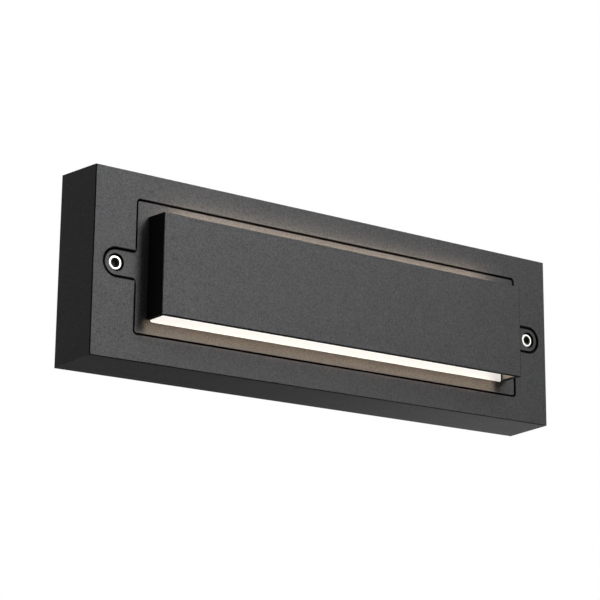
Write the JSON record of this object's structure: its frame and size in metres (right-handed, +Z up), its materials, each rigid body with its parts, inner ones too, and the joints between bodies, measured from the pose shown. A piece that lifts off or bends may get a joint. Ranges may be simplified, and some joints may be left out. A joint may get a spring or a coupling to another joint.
{
  "type": "outdoor wall light",
  "caption": "Slim rectangular surface-mounted wall light with a flush screwed cover whose open-ended hood turns the light of an opal diffuser up and down the wall.",
  "frame": {"origin": "centre of the housing's back face, on the wall", "axes": "+X along the light, to the right as seen from in front; +Y into the wall; +Z up the wall"},
  "size_m": [0.2826, 0.0425, 0.093],
  "materials": {
    "powder_coat": "matte",
    "opal": "satin",
    "stainless": "satin",
    "zinc_steel": "satin",
    "keeper_nylon": "matte",
    "grey_silicone": "matte",
    "clear_silicone": "satin",
    "black_rubber": "matte",
    "foam": "matte",
    "white_board": "satin",
    "phosphor": "satin",
    "white_nylon": "satin",
    "white_reflector": "matte",
    "bare_aluminium": "satin",
    "driver_case": "matte",
    "circuit_board": "satin",
    "winding_tape": "satin",
    "capacitor_can": "satin",
    "terminal_plastic": "satin",
    "brass": "satin",
    "tinned_copper": "satin",
    "brown_wire": "satin",
    "blue_wire": "satin",
    "green_wire": "satin",
    "red_wire": "satin",
    "black_wire": "satin"
  },
  "bodies": {
    "housing": {"housing": "powder_coat", "cover_gasket": "grey_silicone", "led_board": "white_board", "leds": "phosphor", "board_screws": "zinc_steel", "led_connector": "white_nylon", "reflector": "white_reflector", "led_tray": "bare_aluminium", "tray_screws": "zinc_steel", "driver_base": "driver_case", "driver_lid": "driver_case", "driver_board": "circuit_board", "driver_transformer": "winding_tape", "driver_capacitor": "capacitor_can", "driver_screws": "zinc_steel", "terminal_block": "terminal_plastic", "terminal_inserts": "brass", "terminal_screws": "zinc_steel", "terminal_block_screws": "zinc_steel", "lead_live": "brown_wire", "lead_neutral": "blue_wire", "lead_earth": "green_wire", "lead_led_plus": "red_wire", "lead_led_minus": "black_wire", "earth_lug": "tinned_copper", "earth_screw": "brass", "cable_grommet": "black_rubber", "cable_clamp": "terminal_plastic", "cable_clamp_screws": "zinc_steel", "fixing_seals": "black_rubber", "wall_gasket": "foam"},
    "cover": {"front_cover": "powder_coat", "diffuser": "opal", "diffuser_seal": "clear_silicone"},
    "left_keeper": {"screw_keeper_left": "keeper_nylon"},
    "left_screw": {"cover_screw_left": "stainless"},
    "right_keeper": {"screw_keeper_right": "keeper_nylon"},
    "right_screw": {"cover_screw_right": "stainless"}
  },
  "joints": [
    {"name": "cover_lift", "type": "slide", "parent": "housing", "child": "cover", "axis": [0, -1, 0], "range_m": [0, 0.03]},
    {"name": "left_screw_travel", "type": "slide", "parent": "cover", "child": "left_keeper", "axis": [0, -1, 0], "range_m": [0, 0.00652]},
    {"name": "left_screw_turn", "type": "hinge", "parent": "left_keeper", "child": "left_screw", "pos_m": [-0.12775, -0.02, 0], "axis": [0, -1, 0], "range_deg": [0, 3355]},
    {"name": "right_screw_travel", "type": "slide", "parent": "cover", "child": "right_keeper", "axis": [0, -1, 0], "range_m": [0, 0.00652]},
    {"name": "right_screw_turn", "type": "hinge", "parent": "right_keeper", "child": "right_screw", "pos_m": [0.12775, -0.02, 0], "axis": [0, -1, 0], "range_deg": [0, 3355]}
  ],
  "couplings": [
    {"joint": "left_screw_turn", "follows": "left_screw_travel", "rad_per_m": 8976},
    {"joint": "right_screw_turn", "follows": "right_screw_travel", "rad_per_m": 8976}
  ]
}
